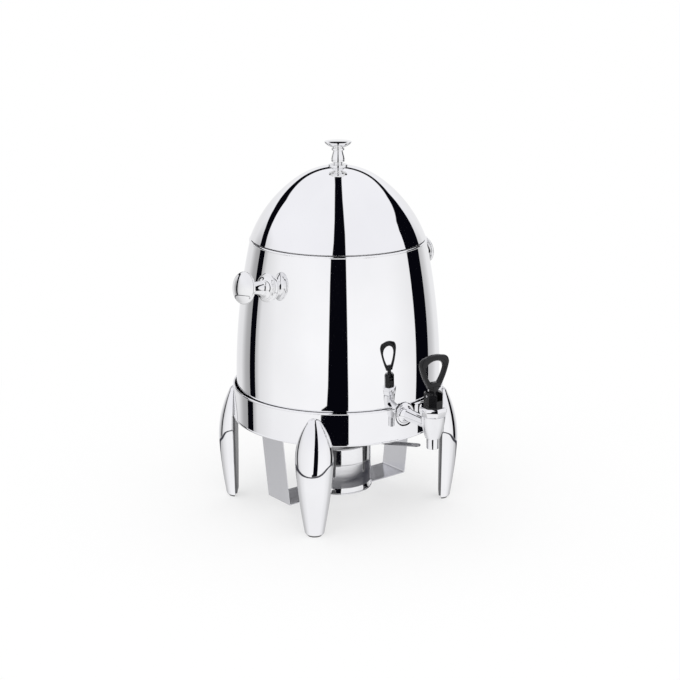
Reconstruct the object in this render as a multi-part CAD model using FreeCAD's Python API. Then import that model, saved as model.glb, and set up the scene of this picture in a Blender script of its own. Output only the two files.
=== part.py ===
# Table-top coffee urn: a bullet-shaped double-wall vessel with a lift-off dome lid and a lever tap.
# The vessel drops into a stand: a ring on four half-round legs, with a strap shelf for a fuel burner.
# Frame: millimetres, +Z up, origin on the table under the urn's axis, the tap points to -Y.
import FreeCAD
import Part
import math
import os

V = FreeCAD.Vector
OUT = "parts"
os.makedirs(OUT, exist_ok=True)

# Stand ring
ring_radius = 157.0
ring_wall = 1.2
ring_bottom_z = 135.0
ring_top_z = 185.0
ring_bead_radius = 1.4
flange_z = 139.0
flange_thick = 1.2
flange_width = 37.0
flange_inner_radius = ring_radius - flange_width

# Legs
leg_angle = 50.4
leg_top_z = 176.0
leg_wide_z = 112.0
leg_wide_radius = 27.5
leg_foot_radius = 14.4
leg_foot_z = 2.0
leg_wall = 1.6
leg_lean = 1.6
leg_foot_corner = 3.5
leg_cavity_top_z = 132.0
leg_floor_thick = 4.0
back_plate_thick = 3.0
back_plate_inset = 1.2
back_plate_gap_z = 1.0
pad_inset = 2.0
screw_radius = 2.5
screw_head_radius = 4.5
screw_head_thick = 2.2
screw_depth = 8.0
leg_screw_z = (147.0, 163.0)
screw_fit = 0.05

# Shelf strap and burner
strap_width = 52.0
strap_thick = 1.5
strap_bend_radius = 2.2
shelf_top_z = 20.0
strap_end_gap = 16.0
strap_tab_length = 17.0
strap_lean_out = 13.0
strap_tab_end = ring_radius - strap_end_gap
strap_top_half_length = strap_tab_end - strap_tab_length
shelf_half_length = strap_top_half_length - strap_lean_out
rivet_radius = 2.4
rivet_head_radius = 4.5
rivet_head_thick = 1.3
rivet_half_spacing = 15.0

burner_radius = 50.0
burner_wall = 1.0
burner_can_top_z = 66.0
burner_neck_height = 9.0
burner_neck_gap = 0.3
burner_foot_bead = 1.6
cover_top_z = 92.0
cover_hole_radius = 25.0
cup_radius = 43.0
cup_wall = 0.8
cup_top_z = 62.0
cup_floor_gap = 2.0
damper_thick = 1.5
damper_gap = 0.3
damper_plate_radius = 29.0
damper_pivot_radius = 37.0
damper_angle = 33.0
damper_tip_radius = 130.0
damper_handle_width = 13.0
damper_tip_rise = 3.0
damper_rivet_radius = 2.5
damper_rivet_head = 5.0
damper_rivet_head_thick = 1.6

# Vessel
body_ring_gap = 3.8
body_radius = ring_radius - ring_wall - body_ring_gap
body_widest_z = 190.0
body_curve_radius = 982.0
shell_wall = 1.0
shell_bottom_z = 141.4
shell_top_z = 401.0
rim_height = 3.0
rim_inset = 34.0
rim_inner_radius = body_radius - rim_inset
rim_round = 1.2
base_lip_z = 140.4
base_foot_width = 11.0
base_foot_inner = body_radius - base_foot_width
base_slope_width = 3.0
base_step_radius = base_foot_inner - base_slope_width
base_step_z = 146.2
base_thick = 1.0
base_floor_width = 33.0
base_hole_radius = base_step_radius - base_floor_width
liner_gap = 8.0
liner_wall = 1.0
liner_floor_thick = 1.4

# Side knobs
knob_drop = 49.0
knob_z = shell_top_z - knob_drop
knob_turn = 6.0
knob_flange_radius = 20.5
knob_flange_height = 11.0
knob_neck_radius = 9.5
knob_head_radius = 23.0
knob_neck_length = 25.0
knob_head_depth = 17.0
knob_stud_radius = 3.0
knob_nut_radius = 6.5
knob_nut_thick = 4.0
knob_washer_radius = 10.0
knob_washer_thick = 1.2

# Lid
lid_seam_gap = 1.8
lid_edge_inset = 23.8
lid_edge_radius = body_radius - lid_edge_inset
lid_lower_curve = 186.0
lid_shoulder_radius = 60.5
lid_shoulder_rise = 91.0
lid_wall = 1.2
lid_skirt_gap = 0.8
lid_skirt_depth = 12.0
lid_skirt_wall = 1.0
lid_plate_thick = 1.2
lid_groove_depth = 6.5
lid_plate_roll = 4.0
finial_flange_radius = 14.5
finial_top_radius = 20.0
finial_height = 35.0
finial_screw_radius = 3.0
finial_washer_radius = 9.0
finial_washer_thick = 1.4
finial_head_radius = 5.5
finial_head_height = 3.6

# Tap
tap_stand_off = 63.5
tap_reach = body_radius + tap_stand_off
tap_arm_z = 173.0
tap_flange_radius = 16.5
tap_flange_thick = 3.6
tap_gasket_squeezed = 1.4
tap_shank_radius = 7.0
tap_bore_radius = 4.5
tap_arm_radius = 9.4
tap_gasket_radius = 12.0
tap_gasket_thick = 2.0
tap_lock_nut_radius = 15.0
tap_lock_nut_thick = 5.0
tap_boss_radius = 11.0
tap_boss_length = 6.0
notch_clearance = 1.5
tap_body_top_z = 187.0
tap_body_top_radius = 17.5
tap_body_bottom_z = 154.0
tap_body_bottom_radius = 10.5
tap_spout_bottom_z = 138.5
tap_spout_radius = 8.7
tap_spout_bore = 6.5
tap_chamber_radius = 14.0
tap_seat_z = 160.0
tap_seat_bore = 5.5
collar_radius = 20.8
collar_height = 13.5
bonnet_radius = 14.3
bonnet_height = 21.0
bonnet_sides = 8
bonnet_wall = 2.6
bonnet_cavity_radius = 9.0
stem_radius = 3.0
stem_head_radius = 4.2
stem_guide_gap = 0.15
stem_travel = 4.0
cup_seal_radius = 9.0
cup_seal_height = 9.0
spring_wire = 0.7
spring_radius = 6.0
spring_turns = 6
spring_end_gap = 0.3
handle_width = 51.0
handle_depth = 9.0
handle_top_z = 275.0
handle_loop_z = 228.0
handle_bar = 8.5
handle_low_bar_share = 0.5
handle_neck_width = 20.0
handle_slot_gap = 0.5
handle_neck_rise = 9.6
tongue_width = 9.0
pivot_z = 217.0
pivot_radius = 2.0
pivot_fit = 0.05
tongue_radius = 5.5


def save(name, shape):
    """Writes one named piece, a solid or a group of separate solids."""
    solids = shape.Solids
    assert solids, name + " has no solid"
    piece = solids[0] if len(solids) == 1 else Part.makeCompound(solids)
    piece.exportStep(os.path.join(OUT, name + ".step"))


def arc_to(middle, end):
    """An arc step of an outline, through its middle point to its end."""
    return ("arc", middle, end)


def cap_arc(radius, z, top_z):
    """A shallow dome over the axis, as an arc step from its edge to its crown."""
    rise = top_z - z
    ball = (radius**2 + rise**2) / (2 * rise)
    half = radius / 2
    return arc_to((half, top_z - ball + math.sqrt(ball**2 - half**2)), (0, top_z))


def outline_wire(steps):
    """A closed wire in the XZ plane, from points (x, z) and arc steps."""
    edges = []
    start = V(steps[0][0], 0, steps[0][1])
    here = start
    for step in steps[1:]:
        if step[0] == "arc":
            middle = V(step[1][0], 0, step[1][1])
            end = V(step[2][0], 0, step[2][1])
            edges.append(Part.Arc(here, middle, end).toShape())
        else:
            end = V(step[0], 0, step[1])
            edges.append(Part.LineSegment(here, end).toShape())
        here = end
    if here.distanceToPoint(start) > 1e-6:
        edges.append(Part.LineSegment(here, start).toShape())
    return Part.Wire(edges)


def turned(steps):
    """A solid turned about the Z axis from an outline of (radius, z)."""
    return Part.Face(outline_wire(steps)).revolve(V(0, 0, 0), V(0, 0, 1), 360)


def rod(radius, start, end):
    """A round rod between two points."""
    way = end - start
    return Part.makeCylinder(radius, way.Length, start, way)


def at_angle(shape, degrees):
    """A copy turned about the urn's axis; 0 degrees is towards the tap, +90 towards +X."""
    copy = shape.copy()
    copy.rotate(V(0, 0, 0), V(0, 0, 1), degrees)
    return copy


def outward(radius, z, side=0.0):
    """A point straight out towards the tap, before it is turned to its angle."""
    return V(side, -radius, z)


def body_r(z):
    """Outer radius of the vessel at a height."""
    rise = z - body_widest_z
    return body_radius - body_curve_radius + math.sqrt(body_curve_radius**2 - rise**2)


def wall_arc(inset, low_z, high_z):
    """The vessel's curve, set in by a distance, as its low point and an arc step to its high point."""
    middle_z = (low_z + high_z) / 2
    return (body_r(low_z) - inset, low_z), arc_to(
        (body_r(middle_z) - inset, middle_z), (body_r(high_z) - inset, high_z)
    )


# The ring: a band with a rolled bead along both edges and a flange inside that carries the vessel.
# It is notched from the top edge so that the tap's shank can be lowered into it.
def make_ring():
    inner = ring_radius - ring_wall
    band = turned([
        (inner, ring_bottom_z), (ring_radius, ring_bottom_z),
        (ring_radius, ring_top_z), (inner, ring_top_z),
    ])
    for z in (ring_bottom_z + ring_bead_radius, ring_top_z - ring_bead_radius):
        bead = Part.makeTorus(inner - 0.2, ring_bead_radius, V(0, 0, z), V(0, 0, 1))
        band = band.fuse(bead)
    shelf = turned([
        (flange_inner_radius, flange_z), (inner, flange_z),
        (inner, flange_z + flange_thick), (flange_inner_radius, flange_z + flange_thick),
    ])
    notch_radius = tap_flange_radius + notch_clearance
    notch = rod(notch_radius, outward(ring_radius - 15, tap_arm_z), outward(ring_radius + 15, tap_arm_z))
    slot = Part.makeBox(
        2 * notch_radius, 30, ring_top_z - tap_arm_z + 5,
        V(-notch_radius, -ring_radius - 15, tap_arm_z),
    )
    holes = Part.makeCompound(
        [leg_screw_hole(angle, z) for angle in leg_angles for z in leg_screw_z]
        + [rivet_hole(x, y) for x, y in rivet_places]
    )
    return band.fuse(shelf).cut(notch).cut(slot).cut(holes).removeSplitter()


leg_names = ("front_right", "rear_right", "rear_left", "front_left")
leg_angles = (leg_angle, 180 - leg_angle, 180 + leg_angle, -leg_angle)
rivet_x = (strap_top_half_length + strap_tab_end) / 2
rivet_places = [(sx * rivet_x, sy * rivet_half_spacing) for sx in (-1, 1) for sy in (-1, 1)]


def leg_screw_hole(angle, z):
    hole = rod(
        screw_radius + screw_fit,
        outward(ring_radius - 8, z), outward(ring_radius + screw_depth + 0.5, z),
    )
    return at_angle(hole, angle)


def rivet_hole(x, y):
    return rod(rivet_radius + screw_fit, V(x, y, flange_z - 6), V(x, y, flange_z + 6))


# A leg: half of a turned torpedo, hollow below the ring and solid where the two screws hold it.
def torpedo(inset, low_z, high_z):
    """The turned leg body about its own axis, set in by a wall."""
    wide = leg_wide_radius - inset
    foot = leg_foot_radius - inset
    corner = max(leg_foot_corner - inset, 0.5)
    lower_mid_z = (low_z + leg_wide_z) / 2
    upper_mid_z = (leg_wide_z + high_z) / 2
    lower_mid = (foot + wide) / 2 + 2.6
    upper_mid = wide * 0.80
    tip = 1.5
    body = turned([
        (0, low_z), (foot - corner, low_z), (foot, low_z + corner),
        arc_to((lower_mid, lower_mid_z), (wide, leg_wide_z)),
        arc_to((upper_mid, upper_mid_z), (tip, high_z)),
        (0, high_z),
    ])
    body.rotate(V(0, 0, leg_foot_z), V(1, 0, 0), -leg_lean)
    body.translate(outward(ring_radius, 0))
    return body


def make_leg():
    outer = torpedo(0, leg_foot_z, leg_top_z)
    cavity = torpedo(leg_wall, leg_foot_z + leg_floor_thick, leg_top_z - 2)
    cavity_block = Part.makeBox(80, 40, leg_cavity_top_z - leg_foot_z, V(-40, -ring_radius - 40, leg_foot_z))
    leg = outer.cut(cavity.common(cavity_block))
    level = Part.makeBox(80, 80, leg_foot_z, V(-40, -ring_radius - 40, 0))
    leg = leg.cut(level)
    reach = 60
    inside_low = Part.makeBox(2 * reach, reach, ring_bottom_z, V(-reach, -ring_radius, 0))
    inside_high = Part.makeBox(2 * reach, reach, 60, V(-reach, -ring_radius + 3.0, ring_bottom_z - 1))
    drum = Part.makeCylinder(ring_radius, 80, V(0, 0, ring_bottom_z))
    leg = leg.cut(inside_low).cut(inside_high).cut(drum)
    for z in leg_screw_z:
        leg = leg.cut(rod(screw_radius + screw_fit, outward(ring_radius - 8, z),
                          outward(ring_radius + screw_depth + 0.5, z)))
    return leg


def make_back_plate():
    """The dark cover that closes the leg's open back, from above the foot to under the ring."""
    low = leg_foot_z + leg_floor_thick
    high = ring_bottom_z - back_plate_gap_z
    body = torpedo(back_plate_inset, leg_foot_z + 1.0, leg_top_z - 2)
    slab = Part.makeBox(80, back_plate_thick, high - low, V(-40, -ring_radius, low))
    return body.common(slab)


def make_foot_pad():
    pad = Part.makeCylinder(leg_foot_radius - leg_foot_corner - 0.4, leg_foot_z, outward(ring_radius, 0))
    block = Part.makeBox(60, 40, 10, V(-30, -ring_radius - 40 - pad_inset / 2, -1))
    return pad.common(block)


def make_leg_screw(z):
    head_out = ring_radius - ring_wall
    shank = rod(screw_radius, outward(head_out - 0.5, z), outward(ring_radius + screw_depth, z))
    head = rod(screw_head_radius, outward(head_out - screw_head_thick - 0.1, z), outward(head_out - 0.1, z))
    return shank.fuse(head)


# The shelf: one bent strap across the stand, riveted under the ring's flange.
def thick_outline(points, thick):
    """A closed outline round a bent centre line, mitred at its corners."""
    sides = ([], [])
    for i, (x, z) in enumerate(points):
        before = points[max(i - 1, 0)]
        after = points[min(i + 1, len(points) - 1)]
        way_in = math.atan2(z - before[1], x - before[0]) if i else None
        way_out = math.atan2(after[1] - z, after[0] - x) if i < len(points) - 1 else None
        way_in = way_out if way_in is None else way_in
        way_out = way_in if way_out is None else way_out
        middle = (way_in + way_out) / 2
        reach = thick / 2 / math.cos((way_out - way_in) / 2)
        for side, sign in zip(sides, (1, -1)):
            side.append((x - sign * reach * math.sin(middle), z + sign * reach * math.cos(middle)))
    return sides[0] + sides[1][::-1]


def make_shelf():
    tab_z = flange_z - strap_thick / 2
    shelf_z = shelf_top_z - strap_thick / 2
    half = [
        (-strap_tab_end, tab_z), (-strap_top_half_length, tab_z),
        (-shelf_half_length, shelf_z),
    ]
    line = half + [(-x, z) for x, z in reversed(half)]
    steps = thick_outline(line, strap_thick)
    face = Part.Face(outline_wire(steps + [steps[0]]))
    strap = face.extrude(V(0, strap_width, 0))
    strap.translate(V(0, -strap_width / 2, 0))
    bends = []
    for edge in strap.Edges:
        ends = edge.Vertexes
        along_y = len(ends) == 2 and abs(ends[0].Y - ends[1].Y) > strap_width - 1
        if along_y and abs(ends[0].X) < strap_tab_end - 1:
            bends.append(edge)
    strap = strap.makeFillet(strap_bend_radius, bends)
    return strap.cut(Part.makeCompound([rivet_hole(x, y) for x, y in rivet_places]))


def make_shelf_rivet(x, y):
    low = flange_z - strap_thick
    high = flange_z + flange_thick
    shank = rod(rivet_radius, V(x, y, low - 0.5), V(x, y, high + 0.5))
    head = turned([
        (0, low - rivet_head_thick), (rivet_head_radius - 1.5, low - rivet_head_thick),
        (rivet_head_radius, low), (0, low),
    ])
    head.translate(V(x, y, 0))
    top = turned([
        (0, high), (rivet_head_radius, high),
        (rivet_head_radius - 1.5, high + rivet_head_thick), (0, high + rivet_head_thick),
    ])
    top.translate(V(x, y, 0))
    return shank.fuse(head).fuse(top)


# The burner: a can that stands on the shelf, a cup inside for the fuel, a lift-off cover and a damper.
def make_burner_can():
    r = burner_radius
    neck = r - burner_wall - burner_neck_gap
    top = burner_can_top_z
    w = burner_wall
    z0 = shelf_top_z
    return turned([
        (0, z0), (r + burner_foot_bead, z0), (r + burner_foot_bead, z0 + 1.2),
        (r, z0 + 3.5), (r, top), (neck, top + 0.01), (neck, top + burner_neck_height),
        (neck - w, top + burner_neck_height), (neck - w, top - 2), (r - w - 0.6, top - 3),
        (r - w - 0.6, z0 + w), (0, z0 + w),
    ])


def make_fuel_cup():
    r = cup_radius
    low = shelf_top_z + burner_wall
    w = cup_wall
    rim = burner_radius - burner_wall - burner_neck_gap - burner_wall - 0.4
    return turned([
        (0, low), (r, low), (r, cup_top_z), (rim, cup_top_z),
        (rim, cup_top_z + w), (r - w, cup_top_z + w), (r - w, low + w), (0, low + w),
    ])


def make_burner_cover():
    r = burner_radius
    w = burner_wall
    low = burner_can_top_z + 0.4
    top = cover_top_z
    hole = cover_hole_radius
    cover = turned([
        (r - w, low), (r, low), (r, top - 3),
        arc_to((r - 0.9, top - 0.9), (r - 3, top)), (hole, top), (hole, top - w),
        (r - 3 - w, top - w), (r - w, top - 3 - w),
    ])
    pivot = damper_pivot()
    return cover.cut(rod(damper_rivet_radius + screw_fit, V(pivot.x, pivot.y, top - 5), V(pivot.x, pivot.y, top + 5)))


def damper_pivot():
    """The damper's pivot, on the burner's top towards its handle."""
    a = math.radians(damper_angle)
    return V(damper_pivot_radius * math.sin(a), -damper_pivot_radius * math.cos(a), cover_top_z)


def make_damper():
    """A round plate over the flame hole and a long flat handle, one pressing that rises to its tip."""
    low = cover_top_z + damper_gap
    plate = Part.makeCylinder(damper_plate_radius, damper_thick, V(0, 0, low))
    boss = Part.makeCylinder(damper_rivet_head + 2.5, damper_thick, outward(damper_pivot_radius, low))
    half = damper_handle_width / 2
    bend = burner_radius + 4
    tip = damper_tip_radius
    rise = damper_tip_rise
    side = outline_wire([
        (-5, low), (bend, low), (tip, low + rise), (tip, low + rise + damper_thick),
        (bend, low + damper_thick), (-5, low + damper_thick),
    ])
    bar = Part.Face(side).extrude(V(0, damper_handle_width, 0))
    bar.translate(V(0, -half, 0))
    waist = 4.0
    plan = Part.Wire([
        Part.LineSegment(V(0, -waist, 0), V(bend, -waist, 0)).toShape(),
        Part.Arc(V(bend, -waist, 0), V(tip - 28, -half, 0), V(tip - half, -half, 0)).toShape(),
        Part.Arc(V(tip - half, -half, 0), V(tip, 0, 0), V(tip - half, half, 0)).toShape(),
        Part.Arc(V(tip - half, half, 0), V(tip - 28, half, 0), V(bend, waist, 0)).toShape(),
        Part.LineSegment(V(bend, waist, 0), V(0, waist, 0)).toShape(),
        Part.LineSegment(V(0, waist, 0), V(0, -waist, 0)).toShape(),
    ])
    bar = bar.common(Part.Face(plan).extrude(V(0, 0, 200)))
    bar.rotate(V(0, 0, 0), V(0, 0, 1), -90)
    damper = plate.fuse(boss).fuse(bar)
    damper = damper.cut(rod(damper_rivet_radius + pivot_fit, outward(damper_pivot_radius, low - 5),
                            outward(damper_pivot_radius, low + 5)))
    return at_angle(damper.removeSplitter(), damper_angle)


def make_damper_rivet():
    p = damper_pivot()
    under = cover_top_z - burner_wall
    over = cover_top_z + 2 * damper_gap + damper_thick
    rivet = turned([
        (0, under - damper_rivet_head_thick), (damper_rivet_head - 1, under - damper_rivet_head_thick),
        (damper_rivet_head, under), (damper_rivet_radius, under), (damper_rivet_radius, over),
        (damper_rivet_head, over), (damper_rivet_head - 1, over + damper_rivet_head_thick),
        (0, over + damper_rivet_head_thick),
    ])
    rivet.translate(V(p.x, p.y, 0))
    return rivet


# The vessel's outer shell, its base ring, liner and rolled rim.
def radial_hole(radius, z, start=90.0, end=200.0):
    return rod(radius, outward(start, z), outward(end, z))


def knob_axis(side):
    """Seat point and outward direction of a side knob, square to the shell."""
    tilt = math.asin((knob_z - body_widest_z) / body_curve_radius)
    return V(side * body_r(knob_z), 0, knob_z), V(side * math.cos(tilt), 0, math.sin(tilt))


def knob_hole(side, radius):
    seat, way = knob_axis(side)
    return at_angle(rod(radius, seat - way * 30, seat + way * 30), knob_turn)


def make_outer_shell():
    low, curve = wall_arc(0, shell_bottom_z, shell_top_z)
    low_in, curve_in = wall_arc(shell_wall, shell_top_z, shell_bottom_z)
    shell = turned([low, curve, low_in, curve_in])
    shell = shell.cut(radial_hole(tap_shank_radius + 0.2, tap_arm_z))
    for side in (-1, 1):
        shell = shell.cut(knob_hole(side, knob_stud_radius + screw_fit))
    return shell


def make_base_ring():
    outer = body_r(shell_bottom_z)
    t = base_thick
    return turned([
        (base_foot_inner, base_lip_z), (outer, base_lip_z), (outer, base_lip_z + t),
        (base_foot_inner + 0.4, base_lip_z + t), (base_step_radius + 0.4, base_step_z + t),
        (base_hole_radius, base_step_z + t), (base_hole_radius, base_step_z),
        (base_step_radius, base_step_z),
    ])


def make_liner():
    floor = base_step_z + base_thick
    inset = shell_wall + liner_gap
    w = liner_wall
    bend = 6.0
    low, curve = wall_arc(inset, floor + bend, shell_top_z)
    low_in, curve_in = wall_arc(inset + w, shell_top_z, floor + bend)
    corner = low[0] - bend
    liner = turned([
        (0, floor), (corner, floor), arc_to((low[0] - 1.8, floor + 1.8), low), curve,
        low_in, curve_in,
        arc_to((low[0] - w - 1.8, floor + liner_floor_thick + 1.6), (corner, floor + liner_floor_thick)),
        (0, floor + liner_floor_thick),
    ])
    return liner.cut(radial_hole(tap_shank_radius + 0.2, tap_arm_z))


def make_rim():
    outer = body_r(shell_top_z)
    top = shell_top_z + rim_height
    return turned([
        (rim_inner_radius, shell_top_z), (outer, shell_top_z), (outer - 0.3, top - rim_round),
        arc_to((outer - 0.7, top - 0.4), (outer - rim_round - 0.5, top)),
        (rim_inner_radius + rim_round, top),
        arc_to((rim_inner_radius + 0.35, top - 0.35), (rim_inner_radius, top - rim_round)),
    ])


# A side knob: a bell-shaped flange, a turned head with a short neck, and a stud with its nut inside.
def place_knob(shape, side):
    seat, way = knob_axis(side)
    copy = shape.copy()
    tilt = math.degrees(math.asin(way.z))
    copy.rotate(V(0, 0, 0), V(0, 1, 0), side * (90 - tilt))
    copy.translate(seat)
    return at_angle(copy, knob_turn)


def vessel_solid(inset):
    """The filled vessel outline, for seating pieces on its curved wall."""
    low, curve = wall_arc(inset, shell_bottom_z, shell_top_z)
    return turned([(0, shell_bottom_z), low, curve, (0, shell_top_z)])


def make_knob_flange(side, filled):
    r = knob_flange_radius
    h = knob_flange_height
    bell = turned([
        (0, -4), (r, -4), (r, 2.0), arc_to((r - 1.0, 3.6), (r - 2.6, 4.2)),
        arc_to((knob_neck_radius + 3.2, h - 4.4), (knob_neck_radius + 1.2, h)), (0, h),
    ])
    bell = bell.cut(Part.makeCylinder(knob_stud_radius + screw_fit, 40, V(0, 0, -20)))
    return place_knob(bell, side).cut(filled)


def make_knob_head(side):
    h = knob_flange_height
    neck_end = h + knob_neck_length
    front = neck_end + knob_head_depth
    r = knob_head_radius
    n = knob_neck_radius
    head = turned([
        (0, h), (n + 1.2, h), (n + 1.2, h + 2), (n, h + 3.2), (n - 0.8, neck_end - 4),
        arc_to((n + 2.0, neck_end + 0.2), (r - 3, neck_end + 6)),
        arc_to((r, neck_end + 8.4), (r - 2.4, neck_end + 11)),
        cap_arc(r - 2.4, neck_end + 11, front),
    ])
    head = head.cut(Part.makeCylinder(knob_stud_radius + screw_fit, 22, V(0, 0, h - 1)))
    return place_knob(head, side)


def make_knob_stud(side):
    nut_low = -(shell_wall + knob_washer_thick + knob_nut_thick)
    stud = Part.makeCylinder(knob_stud_radius, 25.0 - nut_low, V(0, 0, nut_low - 0.8))
    return place_knob(stud, side)


def make_knob_nut(side):
    """A hexagon nut over a washer, against the inside of the shell."""
    washer = Part.makeCylinder(knob_washer_radius, knob_washer_thick, V(0, 0, -shell_wall - 0.4 - knob_washer_thick))
    corners = [V(knob_nut_radius * math.cos(math.radians(60 * i)), knob_nut_radius * math.sin(math.radians(60 * i)),
                 -shell_wall - 0.4 - knob_washer_thick - knob_nut_thick) for i in range(7)]
    nut = Part.Face(Part.makePolygon(corners)).extrude(V(0, 0, knob_nut_thick))
    both = washer.fuse(nut).cut(Part.makeCylinder(knob_stud_radius + screw_fit, 40, V(0, 0, -20)))
    return place_knob(both, side)


# The lid: a spun dome on a flat rim plate with a locating skirt, and a turned finial screwed on top.
lid_base_z = shell_top_z + rim_height


def lid_curves(inset):
    """Lower arc and crown arc of the dome, set in by a wall, as (start, arc steps)."""
    edge_z = lid_base_z + lid_seam_gap
    sx, sz = lid_edge_radius, edge_z
    ex, ez = lid_shoulder_radius, shell_top_z + lid_shoulder_rise
    chord = math.hypot(sx - ex, ez - sz)
    drop = math.sqrt(lid_lower_curve**2 - (chord / 2) ** 2)
    ux, uz = (ex - sx) / chord, (ez - sz) / chord
    cx = (sx + ex) / 2 - drop * uz
    cz = (sz + ez) / 2 + drop * ux
    low_angle = math.atan2(sz - cz, sx - cx)
    high_angle = math.atan2(ez - cz, ex - cx)
    crown_radius = ex / math.cos(high_angle)
    crown_z = ez - crown_radius * math.sin(high_angle)
    big = lid_lower_curve - inset
    small = crown_radius - inset

    def on(radius, angle, x, z):
        return (x + radius * math.cos(angle), z + radius * math.sin(angle))

    middle = (low_angle + high_angle) / 2
    upper = (high_angle + math.pi / 2) / 2
    start = on(big, low_angle, cx, cz)
    shoulder = on(big, high_angle, cx, cz)
    apex = (0, crown_z + small)
    return start, on(big, middle, cx, cz), shoulder, on(small, upper, 0, crown_z), apex, (crown_radius, crown_z)


def make_lid_dome():
    start, m1, shoulder, m2, apex, _ = lid_curves(0)
    start_in, m1_in, shoulder_in, m2_in, apex_in, _ = lid_curves(lid_wall)
    dome = turned([
        start, arc_to(m1, shoulder), arc_to(m2, apex), apex_in,
        arc_to(m2_in, shoulder_in), arc_to(m1_in, start_in),
    ])
    return dome.cut(Part.makeCylinder(finial_screw_radius + 0.3, 60, V(0, 0, apex[1] - 30)))


def make_lid_plate():
    """Flat rim plate under the dome's edge, with the skirt that drops into the vessel's mouth."""
    z = lid_base_z
    outer = rim_inner_radius - lid_skirt_gap
    w = lid_skirt_wall
    t = lid_plate_thick
    edge = lid_edge_radius
    inner = edge - lid_groove_depth
    plate = turned([
        (outer - w, z - lid_skirt_depth), (outer, z - lid_skirt_depth), (outer, z), (inner, z),
        (inner, z + lid_plate_roll), (edge, z + lid_plate_roll), (edge, z + lid_plate_roll + t),
        (inner - t, z + lid_plate_roll + t), (inner - t, z + t), (outer - w, z + t),
    ])
    start, m1, shoulder, m2, apex, _ = lid_curves(lid_wall + 0.05)
    return plate.common(turned([start, arc_to(m1, shoulder), arc_to(m2, apex), (0, z - 20), (start[0], z - 20)]))


def make_finial():
    apex = lid_curves(0)[4][1]
    crown_radius, crown_z = lid_curves(0)[5]
    f = finial_flange_radius
    t = finial_top_radius
    top = apex + finial_height
    finial = turned([
        (0, apex - 3), (f, apex - 3), (f, apex - 0.2), arc_to((f - 0.6, apex + 0.8), (f - 2.4, apex + 1.0)),
        (7.2, apex + 1.6), (6.2, apex + 3.2), (9.6, apex + 5.4), (10.2, apex + 7.2), (9.4, apex + 7.8),
        (10.2, apex + 8.4), arc_to((8.6, apex + 14.5), (7.0, apex + 20.8)), (8.2, apex + 21.4),
        arc_to((9.7, apex + 23.2), (8.2, apex + 25.0)), (8.0, apex + 26.0),
        arc_to((14.5, apex + 28.2), (t - 0.6, top - 2.6)), arc_to((t, top - 1.6), (t - 1.0, top - 0.9)),
        cap_arc(t - 1.0, top - 0.9, top),
    ])
    finial = finial.cut(Part.makeSphere(crown_radius + 0.05, V(0, 0, crown_z)))
    return finial.cut(Part.makeCylinder(finial_screw_radius + screw_fit, 15, V(0, 0, apex - 2)))


def make_finial_screw():
    apex_in = lid_curves(lid_wall)[4][1]
    washer_low = apex_in - 0.5 - finial_washer_thick
    shank = Part.makeCylinder(finial_screw_radius, 14.0, V(0, 0, washer_low - 0.2))
    head = turned([
        (0, washer_low - finial_head_height), (finial_head_radius - 2, washer_low - finial_head_height),
        (finial_head_radius, washer_low - 1), (finial_head_radius, washer_low), (0, washer_low),
    ])
    return shank.fuse(head)


def make_finial_washer():
    apex_in = lid_curves(lid_wall)[4][1]
    low = apex_in - 0.5 - finial_washer_thick
    hole = finial_screw_radius + 0.2
    return turned([
        (hole, low), (finial_washer_radius, low), (finial_washer_radius, low + finial_washer_thick),
        (hole, low + finial_washer_thick),
    ])


# The tap: a cast body on a threaded shank, clamped through both walls by a flange and a lock nut.
tap_flange_in = body_radius + tap_gasket_squeezed
liner_inner = body_r(tap_arm_z) - shell_wall - liner_gap - liner_wall


def tap_turned(steps):
    shape = turned(steps)
    shape.translate(outward(tap_reach, 0))
    return shape


def along_arm(steps):
    """A solid turned about the shank, from an outline of (radius, distance out from the urn's axis)."""
    shape = turned(steps)
    shape.rotate(V(0, 0, 0), V(1, 0, 0), 90)
    shape.translate(V(0, 0, tap_arm_z))
    return shape


def make_tap_body():
    body = tap_turned([
        (0, tap_spout_bottom_z), (tap_spout_radius, tap_spout_bottom_z),
        (tap_spout_radius, tap_body_bottom_z), (tap_body_bottom_radius, tap_body_bottom_z),
        (tap_body_bottom_radius + 0.4, tap_body_bottom_z + 1.0),
        arc_to((tap_body_top_radius - 2.2, (tap_body_bottom_z + tap_body_top_z) / 2 + 1.0),
               (tap_body_top_radius, tap_body_top_z)),
        (0, tap_body_top_z),
    ])
    shank_in = liner_inner - tap_lock_nut_thick - 6
    out = tap_reach - 6
    shoulder = tap_flange_in + tap_flange_thick + tap_boss_length + 0.1
    arm = along_arm([
        (0, shank_in), (tap_shank_radius, shank_in), (tap_shank_radius, shoulder), (tap_arm_radius, shoulder),
        arc_to((tap_arm_radius - 1.0, (shoulder + out) / 2), (tap_arm_radius + 1.0, out)), (0, out),
    ])
    body = body.fuse(arm)
    chamber = tap_turned([
        (0, tap_seat_z), (tap_seat_bore + 4.5, tap_seat_z), (tap_chamber_radius, tap_seat_z + 12),
        (tap_chamber_radius, tap_body_top_z + 1), (0, tap_body_top_z + 1),
    ])
    outlet = tap_turned([
        (0, tap_spout_bottom_z - 1), (tap_spout_bore, tap_spout_bottom_z - 1),
        (tap_spout_bore, tap_seat_z - 4), (tap_seat_bore, tap_seat_z - 2), (tap_seat_bore, tap_seat_z + 1),
        (0, tap_seat_z + 1),
    ])
    bore = rod(tap_bore_radius, outward(shank_in - 1, tap_arm_z), outward(tap_reach, tap_arm_z))
    return body.cut(chamber).cut(outlet).cut(bore).removeSplitter()


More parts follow.
